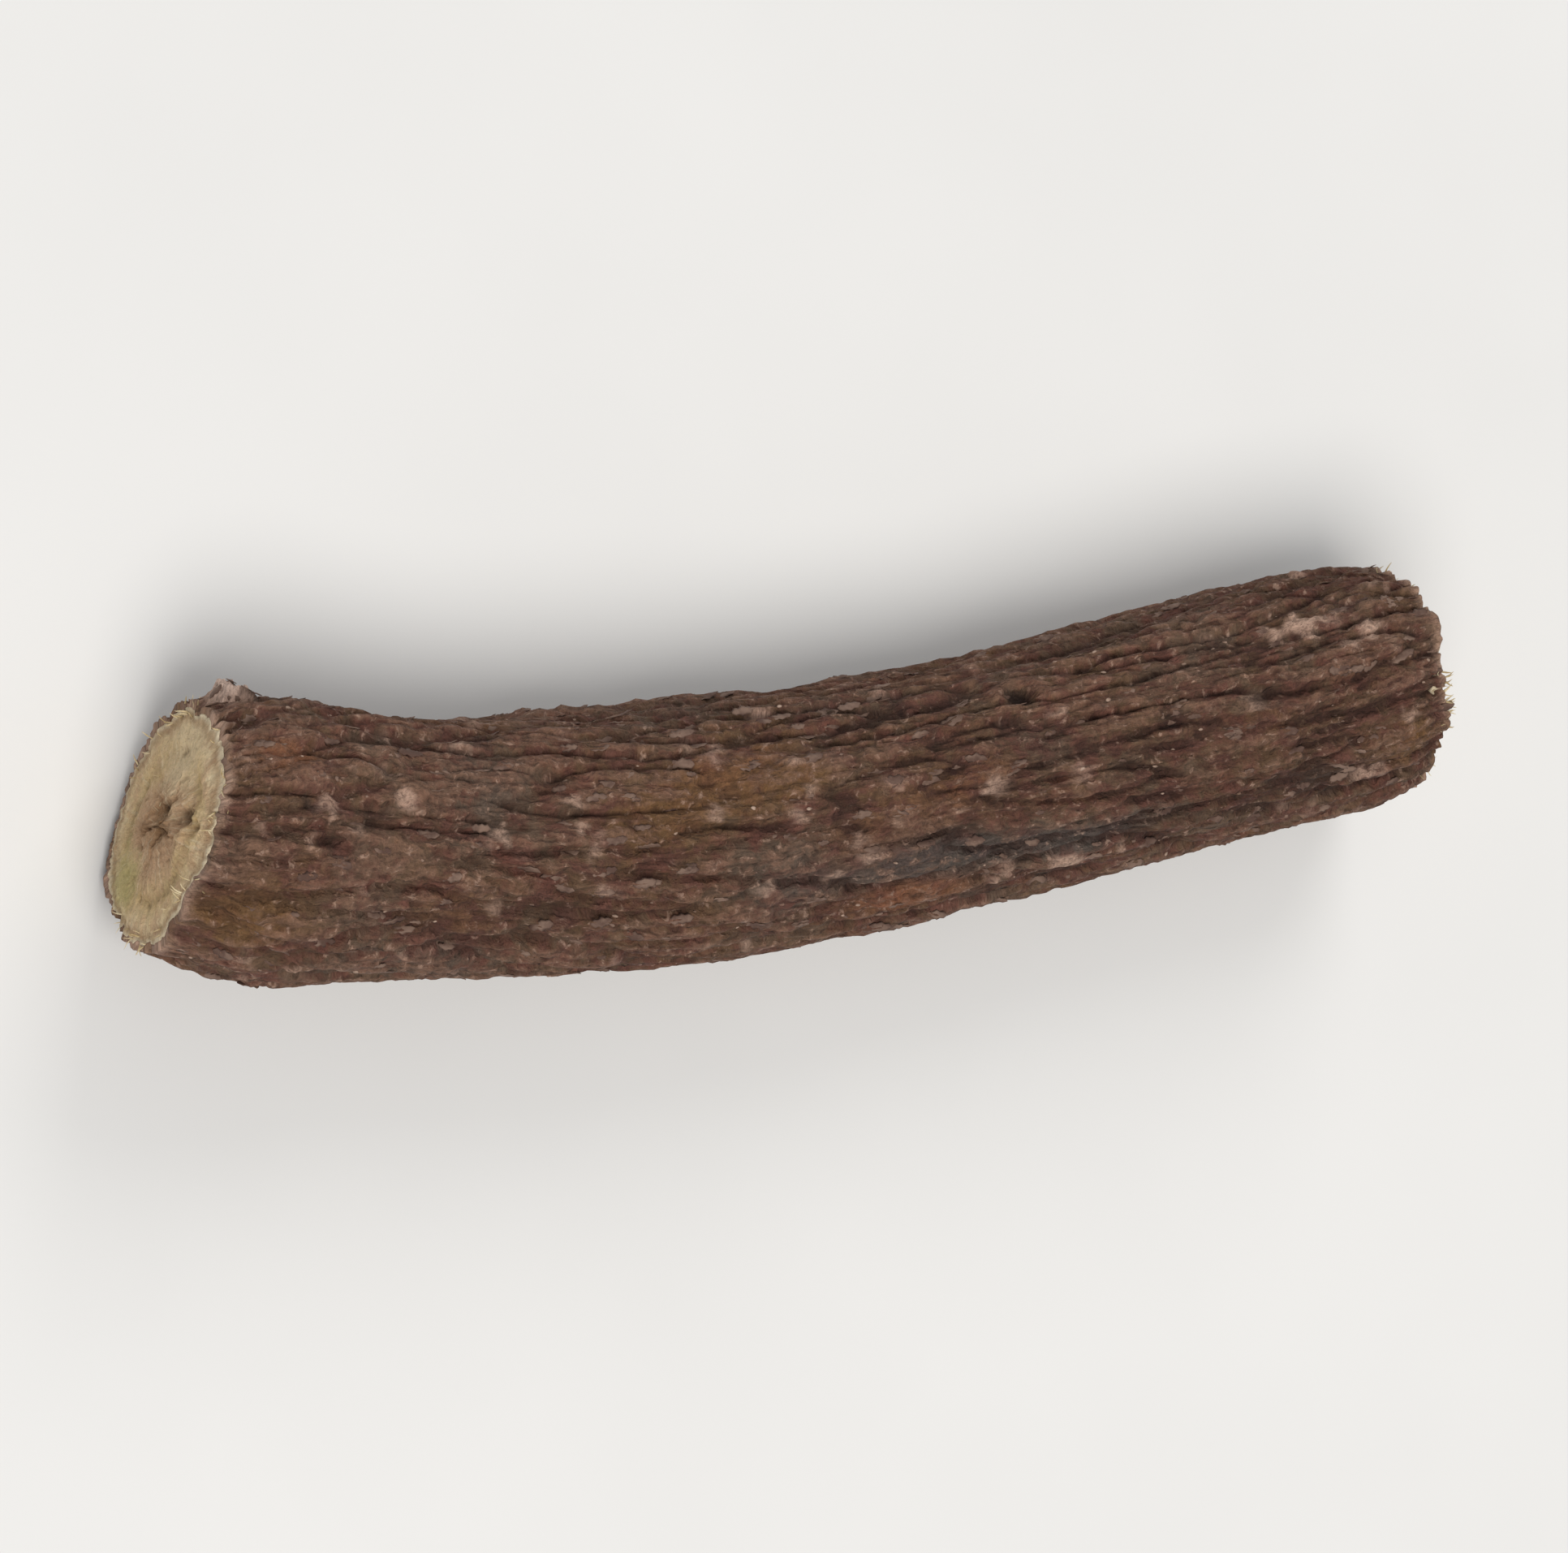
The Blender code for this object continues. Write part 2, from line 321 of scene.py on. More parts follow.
def addNode(tree, kind, inputs=None, **settings):
    node = tree.nodes.new(kind)
    for name, value in settings.items():
        setattr(node, name, value)
    for name, value in (inputs or {}).items():
        if isinstance(value, bpy.types.NodeSocket):
            tree.links.new(value, node.inputs[name])
        else:
            node.inputs[name].default_value = value
    return node


def result(tree, kind, inputs=None, which=0, **settings):  # one of a new node's outputs
    return addNode(tree, kind, inputs, **settings).outputs[which]


def doMath(tree, operation, *values):
    return result(tree, "ShaderNodeMath", dict(enumerate(values)), operation=operation)


def times(tree, first, second):
    return doMath(tree, "MULTIPLY", first, second)


def doVector(tree, operation, *values):
    return result(tree, "ShaderNodeVectorMath", dict(enumerate(values)), operation=operation)


def scaled(tree, vector, amount):
    return result(tree, "ShaderNodeVectorMath", {0: vector, "Scale": amount}, operation="SCALE")


def split(tree, vector):
    return addNode(tree, "ShaderNodeSeparateXYZ", {0: vector}).outputs


def joined(tree, *values):
    return result(tree, "ShaderNodeCombineXYZ", dict(enumerate(values)))


def swing(tree, value, amount, base=0.0, middle=0.5):  # takes a value to both sides of the base
    return doMath(tree, "MULTIPLY_ADD", doMath(tree, "SUBTRACT", value, middle), amount, base)


def noiseAt(tree, place, detail, roughness=0.5, scale=1.0, output=0):
    inputs = {"Vector": place, "Scale": scale, "Detail": detail, "Roughness": roughness}
    return result(tree, "ShaderNodeTexNoise", inputs, output)


def stretchedNoiseAt(tree, place, rates, detail, roughness, offset=(0, 0, 0)):
    return noiseAt(tree, doVector(tree, "MULTIPLY_ADD", place, rates, offset), detail, roughness)


def edgesAt(tree, place):  # distance to the edges of a net of cells
    inputs = {"Vector": place, "Scale": 1.0, "Randomness": 1.0}
    return result(tree, "ShaderNodeTexVoronoi", inputs, "Distance", feature="DISTANCE_TO_EDGE")


def spread(tree, value, low, high, toLow=0.0, toHigh=1.0, smooth=True):
    inputs = {"Value": value, "From Min": low, "From Max": high, "To Min": toLow, "To Max": toHigh}
    kind = "SMOOTHSTEP" if smooth else "LINEAR"
    return result(tree, "ShaderNodeMapRange", inputs, interpolation_type=kind)


def evenly(tree, value, toLow, toHigh):  # a noise's usual range
    return spread(tree, value, 0.3, 0.7, toLow, toHigh, smooth=False)


def blendColour(tree, share, below, above, how="MIX"):
    inputs = {0: share, 6: below, 7: above}  # a colour mix's sockets
    return result(tree, "ShaderNodeMix", inputs, 2, data_type="RGBA", blend_type=how)


def blendLayers(tree, colours, values):  # each of the colours' layers, over the one before
    colour = colours[colours["under"]]
    for driver, name, start, full, most in colours["layers"]:
        share = spread(tree, values[driver], start, full, 0.0, most)
        colour = blendColour(tree, share, colour, colours[name])
    return colour


def shaded(tree, colour, amount):
    grey = result(tree, "ShaderNodeCombineColor", {0: amount, 1: amount, 2: amount})
    return blendColour(tree, 1.0, colour, grey, "MULTIPLY")


def srgb(red, green, blue):  # 0 to 255, as read off a picture
    linear = [v / 255 / 12.92 if v <= 10 else ((v / 255 + 0.055) / 1.055) ** 2.4 for v in (red, green, blue)]
    return (*linear, 1.0)


def newMaterial(name):
    print("material", name)
    material = bpy.data.materials.new(name)
    material.use_nodes = True
    tree = material.node_tree
    tree.nodes.clear()
    shader = addNode(tree, "ShaderNodeBsdfPrincipled")
    addNode(tree, "ShaderNodeOutputMaterial", {"Surface": shader.outputs[0]})
    return material, tree, shader


def finish(tree, shader, colour, values, look):  # look is the material's own dictionary
    driver, low, high = look["roughness"]
    height = 0.0
    for name, amount in look["heights"].items():
        height = doMath(tree, "MULTIPLY_ADD", values[name], amount, height)
    inputs = {"Height": height, "Distance": look["bump"], "Strength": look["strength"]}
    tree.links.new(colour, shader.inputs["Base Color"])
    tree.links.new(evenly(tree, values[driver], low, high), shader.inputs["Roughness"])
    tree.links.new(result(tree, "ShaderNodeBump", inputs), shader.inputs["Normal"])
    shader.inputs["Specular IOR Level"].default_value = look["specular"]


def readValue(tree, name, output="Vector"):
    return result(tree, "ShaderNodeAttribute", which=output, attribute_name=name)


barkColours = {
    "purpleBrown": srgb(106, 69, 57),
    "olive": srgb(103, 77, 54),
    "grey": srgb(106, 86, 71),
    "red": srgb(108, 63, 51),
    "ochre": srgb(120, 87, 52),
    "slate": srgb(84, 79, 75),
    "rust": srgb(146, 94, 64),
    # painted highlight: paler where the bark stands high on its ridges
    "ridgeHighlight": srgb(135, 101, 81),
    # pale warts and specks, and a painted highlight on the lower side
    "pale": srgb(196, 162, 142),
    # painted shade deep in the furrows, and the colour of the fine crack lines
    "furrow": srgb(54, 33, 26),
    "bleached": srgb(222, 194, 178),
    # painted shade in the sunken pits
    "pit": srgb(40, 25, 20),
    "under": "purpleBrown",
    "layers": (  # what it follows, colour, where it starts and is full, how strong
        ("mottled", "olive", 0.36, 0.64, 1.0),
        ("greyness", "grey", 0.48, 0.64, 0.80),
        ("redness", "red", 0.50, 0.72, 0.60),
        ("ochreness", "ochre", 0.10, 1.0, 0.75),
        ("slateness", "slate", 0.10, 1.0, 0.75),
        ("rustiness", "rust", 0.10, 1.0, 0.62),
        # the painted highlight on the ridge tops
        ("highlightOnRidges", "ridgeHighlight", 0.04, 0.34, 0.62),
        ("small", "pale", 0.58, 0.72, 0.55),
    ),
    "mottling": (0.75, 1.0),  # patches in a millimetre along and round the root
    "streaking": (0.45, 4.2),
    "crackle": (0.42, 1.5),
    "noises": {  # which of those, how much finer, detail, roughness, place in the noise
        "broad": ("mottling", 0.22, 4, 0.60, (7, 1, 3)),
        "mottled": ("mottling", 1.0, 5, 0.62, (0, 0, 0)),
        "small": ("mottling", 2.6, 4, 0.62, (11, 3, 6)),
        "fine": ("mottling", 7.0, 4, 0.66, (1, 13, 4)),
        "streaks": ("streaking", 1.0, 5, 0.60, (4, 9, 2)),
        "redness": ("mottling", 0.5, 4, 0.60, (31, 17, 2)),
    },
    "wander": (0.9, 0.7),  # how often and how far the patches are drawn aside
    "stainPatchiness": 1.6,
    "ridgeHighlightPatchiness": 1.1,
    "furrowShadePatchiness": 0.6,
    "furrowShadeDepth": (-0.46, -0.02, 0.75, 0.0),  # painted shade in the furrows: millimetres where darkest and where it ends, and how dark
    "furrowShadeReach": (16.0, 42.0, 0.6, 1.0),  # millimetres from the thick cut, and how dark the painted furrow shade is at each
    "crackleEdge": (0.30, 0.10, 0.32),
    "crackleShare": (0.42, 0.60, 0.4125, 0.055),
    "wartShare": (0.22, 0.55, 0.35, 0.92),
    "flapShare": (0.2, 0.5, 0.5, 1.0),
    "streakShade": (0.80, 1.20),
    "fineShade": (0.76, 1.25),
    "roughness": ("small", 0.92, 0.60),
    "specular": 0.35,
    "heights": {"streaks": 1.1, "edges": 0.35, "small": 0.9, "fine": 0.75},
    "bump": 0.00026,
    "strength": 1.0,
}


def barkMaterial():
    material, tree, shader = newMaterial("wrinkledBark")
    colours = barkColours
    straight, depth = readValue(tree, "straight"), readValue(tree, "depth", "Fac")
    stains, spots = split(tree, readValue(tree, "stain")), split(tree, readValue(tree, "spot"))
    often, far = colours["wander"]
    wander = noiseAt(tree, straight, 2.0, scale=often, output=1)
    wander = doVector(tree, "MULTIPLY_ADD", wander, (far, far, far), straight)
    values = {}
    for name, (kind, finer, detail, roughness, offset) in colours["noises"].items():
        along, around = (finer * rate for rate in colours[kind])
        values[name] = stretchedNoiseAt(tree, wander, (along, around, around), detail, roughness, offset)
    mottled, small, fine = values["mottled"], values["small"], values["fine"]
    values["greyness"] = times(tree, doMath(tree, "ADD", mottled, values["broad"]), 0.5)
    for name, stain in zip(("ochreness", "slateness", "rustiness"), stains):
        values[name] = swing(tree, mottled, colours["stainPatchiness"], stain)
    # painted highlight on the ridge tops, from the bark's depth, broken up by noise
    values["highlightOnRidges"] = swing(tree, small, colours["ridgeHighlightPatchiness"], depth)
    colour = blendLayers(tree, colours, values)

    along, around = colours["crackle"]
    edges = edgesAt(tree, doVector(tree, "MULTIPLY", wander, (along, around, around)))
    patchiness, start, end = colours["crackleEdge"]
    edges = spread(tree, doMath(tree, "MULTIPLY_ADD", small, patchiness, edges), start, end)
    values["edges"] = edges
    # painted shade, darkest where the bark lies deepest in its furrows
    furrowShade = spread(tree, swing(tree, small, colours["furrowShadePatchiness"], depth), *colours["furrowShadeDepth"])
    fromThick = split(tree, straight)[0]
    furrowShade = times(tree, furrowShade, spread(tree, fromThick, *colours["furrowShadeReach"]))
    inCrack = spread(tree, values["streaks"], *colours["crackleShare"])
    inCrack = times(tree, doMath(tree, "SUBTRACT", 1.0, edges), inCrack)
    colour = blendColour(tree, doMath(tree, "MAXIMUM", furrowShade, inCrack), colour, colours["furrow"])

    # pale warts, and one painted highlight among them
    paleWartAndHighlight = times(tree, spots[0], spread(tree, fine, *colours["wartShare"]))
    colour = blendColour(tree, paleWartAndHighlight, colour, colours["pale"])
    onFlap = times(tree, spots[2], spread(tree, fine, *colours["flapShare"]))
    colour = blendColour(tree, onFlap, colour, colours["bleached"])
    # painted shade in the pits
    colour = blendColour(tree, spots[1], colour, colours["pit"])
    streakShade = evenly(tree, values["streaks"], *colours["streakShade"])
    fineShade = evenly(tree, fine, *colours["fineShade"])
    colour = shaded(tree, colour, times(tree, streakShade, fineShade))
    finish(tree, shader, colour, values, colours)
    return material


woodColours = {
    "pale": srgb(228, 206, 168),
    "yellow": srgb(216, 188, 142),
    "tan": srgb(200, 164, 130),
    "heart": srgb(166, 128, 92),
    "ring": srgb(178, 150, 102),
    "green": srgb(180, 174, 112),
    "rim": srgb(230, 216, 186),
    "cortex": srgb(150, 116, 84),
    # painted shade in the crack, its arms and the holes of a cut
    "crack": srgb(88, 64, 40),
    "under": "heart",
    "layers": (  # what it follows, colour, where it starts and is full, how strong
        ("fromMiddle", "tan", 0.06, 0.34, 1.0),
        ("fromMiddle", "yellow", 0.30, 0.66, 1.0),
        ("fromMiddle", "pale", 0.66, 0.94, 1.0),
        ("patches", "tan", 0.44, 0.62, 0.70),
        ("fromRing", "ring", 0.08, 0.0, 0.40),
        ("paleness", "pale", 0.15, 0.85, 0.75),
        ("greenness", "green", 0.15, 0.95, 0.60),
        ("rays", "heart", 0.52, 0.70, 0.35),
        ("rays", "rim", 0.46, 0.30, 0.40),
        ("nearRim", "cortex", 0.82, 0.90, 0.55),
        ("nearRim", "rim", 0.90, 0.96, 0.75),
        ("vessels", "heart", 0.34, 0.20, 0.35),
        # painted shade where the face is sunk
        ("depth", "crack", -0.12, -0.55, 0.90),
    ),
    "rays": (17.0, 2.2),  # how many in a radian round the root, and how they change outwards
    "blotches": 3.0,  # how many in a radius, as for the next two
    "patches": 6.5,
    "fibres": 30.0,
    "ringPlace": 0.62,
    "blotchiness": 0.40,
    "rimPatchiness": 0.10,
    "tintPatchiness": 1.6,
    "vesselPatchiness": 0.16,
    "shade": (0.84, 1.14),
    "roughness": ("fibres", 0.95, 0.78),
    "specular": 0.3,
    "heights": {"fibres": 0.8, "rays": 0.8},
    "bump": 0.00024,
    "strength": 1.0,
}


def woodMaterial():
    material, tree, shader = newMaterial("cutWood")
    colours = woodColours
    x, y, share = split(tree, readValue(tree, "face"))
    tints = split(tree, readValue(tree, "tint"))
    flat = joined(tree, x, y)
    many, outwards = colours["rays"]
    rayPlace = joined(tree, 0.0, 0.0, times(tree, share, outwards))
    rayPlace = doVector(tree, "MULTIPLY_ADD", doVector(tree, "NORMALIZE", flat), (many, many, many), rayPlace)
    blotches = stretchedNoiseAt(tree, flat, (colours["blotches"],) * 3, 4, 0.6, (3, 8, 1))
    patches = stretchedNoiseAt(tree, flat, (colours["patches"],) * 3, 4, 0.6, (1, 5, 7))
    pores = result(tree, "ShaderNodeTexVoronoi", {"Vector": flat, "Scale": colours["fibres"]}, "Distance")
    fromMiddle = swing(tree, blotches, colours["blotchiness"], share)
    values = {
        "depth": readValue(tree, "depth", "Fac"),
        "rays": noiseAt(tree, rayPlace, 4, 0.65),
        "fibres": stretchedNoiseAt(tree, flat, (colours["fibres"],) * 3, 4, 0.65),
        "patches": patches,
        "vessels": doMath(tree, "MULTIPLY_ADD", blotches, colours["vesselPatchiness"], pores),
        "fromMiddle": fromMiddle,
        "fromRing": doMath(tree, "ABSOLUTE", doMath(tree, "SUBTRACT", fromMiddle, colours["ringPlace"])),
        "nearRim": swing(tree, patches, colours["rimPatchiness"], share),
        "greenness": swing(tree, patches, colours["tintPatchiness"], tints[0]),
        "paleness": swing(tree, patches, colours["tintPatchiness"], tints[1]),
    }
    colour = blendLayers(tree, colours, values)
    colour = shaded(tree, colour, evenly(tree, values["fibres"], *colours["shade"]))
    finish(tree, shader, colour, values, colours)
    return material


smallLook = {
    "toneEdge": (0.35, 0.65),
    "finer": 5,  # how much finer the bumps are than the patches
    "roughness": ("patches", 0.9, 0.7),
    "specular": 0.5,
    "heights": {"bumps": 1.0},
    "bump": 0.00005,
    "strength": 0.6,
}


def smallMaterial(name, form):  # two tones in patches, for what is strewn over the root
    material, tree, shader = newMaterial(name)
    place, rate = result(tree, "ShaderNodeTexCoord", which="Object"), form["patches"]
    patches = stretchedNoiseAt(tree, place, (rate,) * 3, 4, 0.6)
    bumps = stretchedNoiseAt(tree, place, (rate * smallLook["finer"],) * 3, 3, 0.6)
    colour = blendColour(tree, spread(tree, patches, *smallLook["toneEdge"]), *form["tones"])
    finish(tree, shader, colour, {"patches": patches, "bumps": bumps}, smallLook)
    return material


def newTree(name, numbers, sockets=None):
    tree = bpy.data.node_groups.new(name, "GeometryNodeTree")
    tree.interface.new_socket("Geometry", in_out="OUTPUT", socket_type="NodeSocketGeometry")
    sockets = {**dict.fromkeys(numbers, "Float"), **(sockets or {}), "Material": "Material"}
    for socketName, kind in {"Geometry": "Geometry", **sockets}.items():
        tree.interface.new_socket(socketName, in_out="INPUT", socket_type="NodeSocket" + kind)
    return tree, addNode(tree, "NodeGroupInput").outputs


def endTree(tree, geometry, material):  # the usual end of a tree: plain mesh, and its material
    realized = result(tree, "GeometryNodeRealizeInstances", {"Geometry": geometry})
    painted = result(tree, "GeometryNodeSetMaterial", {"Geometry": realized, "Material": material})
    addNode(tree, "NodeGroupOutput", {"Geometry": painted})


def namedValue(tree, name, kind="FLOAT"):
    return result(tree, "GeometryNodeInputNamedAttribute", {"Name": name}, data_type=kind)


def movedBy(tree, geometry, offset):
    return result(tree, "GeometryNodeSetPosition", {"Geometry": geometry, "Offset": offset})


def keptAbove(tree, geometry):  # nothing goes through the floor
    x, y, z = split(tree, result(tree, "GeometryNodeInputPosition"))
    above = joined(tree, x, y, doMath(tree, "MAXIMUM", z, 0.0))
    return result(tree, "GeometryNodeSetPosition", {"Geometry": geometry, "Position": above})


def withDepth(tree, geometry, relief):  # adds the finer relief to the depth that the material reads for its painted shade, and on the bark its painted highlight
    depth = doMath(tree, "MULTIPLY_ADD", relief, 1000.0, namedValue(tree, "depth"))
    inputs = {"Geometry": geometry, "Name": "depth", "Value": depth}
    return result(tree, "GeometryNodeStoreNamedAttribute", inputs, data_type="FLOAT", domain="POINT")


def addObject(name, data):
    made = bpy.data.objects.new(name, data)
    bpy.context.scene.collection.objects.link(made)
    return made


def runTree(source, tree, settings, name):  # a new plain mesh object from the source and the tree
    modifier = source.modifiers.new(tree.name, "NODES")
    modifier.node_group = tree
    for item in tree.interface.items_tree:
        if item.in_out == "INPUT" and item.name in settings:
            modifier[item.identifier] = settings[item.name]
    bpy.context.view_layer.update()
    evaluated = source.evaluated_get(bpy.context.evaluated_depsgraph_get())
    mesh = bpy.data.meshes.new_from_object(evaluated)
    mesh.name = name
    source.modifiers.remove(modifier)
    return addObject(name, mesh)


def tubeFaces(rings, count):  # between rings of points that follow each other
    firsts = range(0, (rings - 1) * count, count)
    sides = [(i, (i + 1) % count) for i in range(count)]
    return [(low + i, low + j, low + count + j, low + count + i) for low in firsts for i, j in sides]


def fanFaces(first, count, middle):
    return [(first + i, first + (i + 1) % count, middle) for i in range(count)]


def setAttribute(mesh, name, values):
    kind = "FLOAT" if isinstance(values[0], float) else "FLOAT_VECTOR"
    attribute = mesh.attributes.new(name, kind, "POINT")
    numbers = np.asarray(values, np.float32).ravel()
    attribute.data.foreach_set("value" if kind == "FLOAT" else "vector", numbers)


def closedForm(name, points, faces, values=None):  # an object whose faces look outwards
    mesh = bpy.data.meshes.new(name)
    mesh.from_pydata(points, [], faces)
    for attribute, amounts in (values or {}).items():
        setAttribute(mesh, attribute, amounts)
    work = bmesh.new()
    work.from_mesh(mesh)
    bmesh.ops.recalc_face_normals(work, faces=work.faces)
    work.to_mesh(mesh)
    work.free()
    mesh.shade_smooth()
    return addObject(name, mesh)


bark = {
    "around": 360,
    "sections": 268,
    "crowding": 0.095,  # how much closer the sections are at the cuts
    "rimShares": (0.985, 0.968, 0.956),
    "innerShare": 0.945,  # where the bark ends, hidden under the wood
    "innerDrop": 0.0006,
    "calmEnd": 0.0006,  # the finer relief fades out this far from a cut
    "swellShare": 0.2,  # how much the broad swells count towards a furrow's depth, and so to its painted shade
    "finer": {  # inputs of the tree below: millimetres, with depths in metres
        "Crack Width": 0.55, "Crack Length": 4.5, "Crack Depth": 0.00016,
        "Plate Width": 1.1, "Plate Length": 2.6, "Plate Depth": 0.00007,
        "Crumple Width": 0.85, "Crumple Length": 1.5, "Crumple Depth": 0.00030,
        "Grain Width": 0.32, "Grain Length": 0.9, "Grain Depth": 0.00012,
        "Wander": 1.6, "Wander Rate": 0.45,
    },
    "crackSharpness": 0.0022,
    "plateEdge": 0.22,
    "level": 0.7,  # how far up cracks and plates the even bark lies
    "warts": (  # place, degrees from the top, reach along and round, height, how pale, or below 0 how dark the painted shade in its pit is
        (0.142, -16.0, 0.62, 0.55, 0.16, 0.95),
        (0.217, -2.0, 0.45, 0.42, 0.12, 1.0),
        (0.221, -66.0, 0.45, 0.4, 0.12, 0.45),
        (0.275, -18.0, 0.6, 0.34, 0.1, 0.7),
        (0.281, -5.0, 0.36, 0.3, 0.08, 0.8),
        (0.29, 7.0, 0.4, 0.3, 0.08, 0.7),
        (0.297, 24.0, 0.45, 0.3, 0.08, 0.65),
        (0.425, 30.0, 0.55, 0.3, 0.08, 0.7),
        (0.458, -26.0, 0.6, 0.34, 0.1, 0.6),
        (0.454, -2.0, 0.55, 0.3, 0.08, 0.65),
        (0.479, 30.0, 0.5, 0.28, 0.06, 0.65),
        (0.5, 14.0, 0.5, 0.3, 0.08, 0.55),
        (0.615, 2.0, 0.9, 0.32, 0.08, 0.6),
        (0.621, 54.0, 0.6, 0.34, 0.1, 1.0),
        # a low bump whose paleness is a painted highlight on the lower side
        (0.675, 52.0, 1.05, 0.5, 0.1, 1.2),
        (0.9, -38.0, 1.7, 0.55, 0.12, 1.2),
        (0.946, -28.0, 0.7, 0.5, 0.12, 1.1),
        (0.93, 46.0, 1.1, 0.42, 0.08, 0.85),
        (0.028, -78.0, 1.3, 1.15, 0.03, 1.4),
        (0.08, -10.0, 0.95, 0.28, 0.12, 0.6),
        (0.1, -2.0, 0.5, 0.26, 0.1, 0.5),
        # these sunken spots are darkened with painted shade
        (0.083, 3.0, 0.5, 0.4, -0.1, -0.3),
        (0.658, -40.0, 0.7, 0.45, -0.1, -0.7),
        (0.842, -8.0, 1.0, 0.42, -0.16, -0.6),
        (0.767, -10.0, 0.9, 0.4, -0.14, -0.6),
        (0.725, -24.0, 0.8, 0.36, -0.12, -0.5),
    ),
    "wartLimit": 2.2,  # reaches from its middle to where a wart ends; its measures are in millimetres
    "fraying": (0.12, 1500),  # how far the warts' edges waver, and how often in a metre
    "paleCut": 0.95,  # how pale the bark is where it is cut through
    "paleRimAndHighlight": 0.75,  # and beside a cut, where it is torn bark and a painted highlight along the edge
    "tanCut": 0.80,
    "rimReach": 0.00034,
    "rimPatches": (0.55, 1.3, 350, 2.5),  # mean, how uneven, how often in a metre, how frayed
    "flapBleached": 0.85,
    "wartSeed": 7,
    "more": (  # how many, reach, place, stretch, how pale or (below 0) how dark the painted shade in a pit is, height for the reach, and besides it
        (150, (0.18, 0.42), (0.01, 0.99), (1.0, 2.2), (0.1, 0.75), 0.28, 0.0),
        (45, (0.25, 0.45), (0.02, 0.98), (1.5, 3.0), (-0.3, -0.6), 0.0, -0.12),
    ),
    "stains": (  # colour, place, degrees from the top, reach along in millimetres, reach round
        (0, 0.385, -10.0, 4.2, 2.2),
        (0, 0.455, -20.0, 2.0, 1.2),
        (0, 0.965, 32.0, 1.2, 1.6),
        (1, 0.585, 34.0, 7.0, 1.3),
        (1, 0.690, 42.0, 3.0, 1.0),
        (0, 0.030, 40.0, 2.4, 1.8),
        (2, 0.545, 50.0, 4.0, 1.0),
        (2, 0.050, -32.0, 2.0, 1.0),
    ),
    "stainPatches": (0.009, 0.005, 0.15),  # length and width of the other patches, and how rare they are
    "stainOffsets": (3.0, 19.0, 43.0),
}


def finerBarkTree():
    tree, given = newTree("finerBark", bark["finer"])
    straight = namedValue(tree, "straight", "FLOAT_VECTOR")
    aside = noiseAt(tree, straight, 2.0, scale=given["Wander Rate"], output=1)
    aside = scaled(tree, doVector(tree, "SUBTRACT", aside, (0.5, 0.5, 0.5)), given["Wander"])
    straight = doVector(tree, "ADD", aside, straight)

    def stretched(name):
        along, around = (doMath(tree, "DIVIDE", 1.0, given[name + way]) for way in (" Length", " Width"))
        return doVector(tree, "MULTIPLY", straight, joined(tree, along, around, around))

    cracks = noiseAt(tree, stretched("Crack"), 1.5)
    cracks = doMath(tree, "POWER", doMath(tree, "ABSOLUTE", doMath(tree, "SUBTRACT", cracks, 0.5)), 2.0)
    cracks = doMath(tree, "DIVIDE", cracks, doMath(tree, "ADD", cracks, bark["crackSharpness"]))
    cracks = swing(tree, cracks, given["Crack Depth"], middle=bark["level"])
    plates = spread(tree, edgesAt(tree, stretched("Plate")), 0.0, bark["plateEdge"])
    plates = swing(tree, plates, given["Plate Depth"], middle=bark["level"])
    grain = swing(tree, noiseAt(tree, stretched("Grain"), 3.0, 0.6), given["Grain Depth"])
    crumple = swing(tree, noiseAt(tree, stretched("Crumple"), 3.0, 0.6), given["Crumple Depth"])
    relief = doMath(tree, "ADD", doMath(tree, "ADD", cracks, plates), doMath(tree, "ADD", grain, crumple))
    relief = times(tree, relief, namedValue(tree, "open"))
    normal = result(tree, "GeometryNodeInputNormal")
    moved = keptAbove(tree, movedBy(tree, given["Geometry"], scaled(tree, normal, relief)))
    endTree(tree, withDepth(tree, moved, relief), given["Material"])
    return tree


def allWarts():  # the ones seen in the picture, then others strewn evenly over the rest
    chance = random.Random(bark["wartSeed"])
    warts = list(bark["warts"])
    for count, reaches, places, stretches, shades, steepness, height in bark["more"]:
        for _ in range(count):
            reach = chance.uniform(*reaches)
            place, degrees = chance.uniform(*places), chance.uniform(-180, 180)
            longReach, shade = reach * chance.uniform(*stretches), chance.uniform(*shades)
            warts.append((place, degrees, longReach, reach, reach * steepness + height, shade))
    return warts


def wartsAt(nearby, share, angle):
    height, pale, dark = 0.0, 0.0, 0.0
    for place, degrees, longReach, reach, rise, shade in nearby:
        along, around = awayFrom(share, angle, place, degrees, 1)
        along, around = along * 1000 / longReach, around * 1000 / reach
        near = exp(-((along * along + around * around) ** 2))
        height += rise * near
        pale, dark = pale + max(shade, 0.0) * near, dark - min(shade, 0.0) * near
    return height / 1000, min(pale, 1.0), min(dark, 1.0)


def stainAt(share, angle, straight):  # how ochre, slate and rust
    amounts = [0.0, 0.0, 0.0]
    for which, place, degrees, alongReach, aroundReach in bark["stains"]:
        along, around = awayFrom(share, angle, place, degrees, 0)
        amounts[which] += bell(along * 1000, alongReach) * bell(around * 1000, aroundReach)
    length, width, rarity = bark["stainPatches"]
    for which, offset in enumerate(bark["stainOffsets"]):
        patch = noise(Vector((straight.x / length + offset, straight.y / width, straight.z / width)))
        amounts[which] = min(1.0, amounts[which] + max(0.0, patch - rarity))
    return amounts


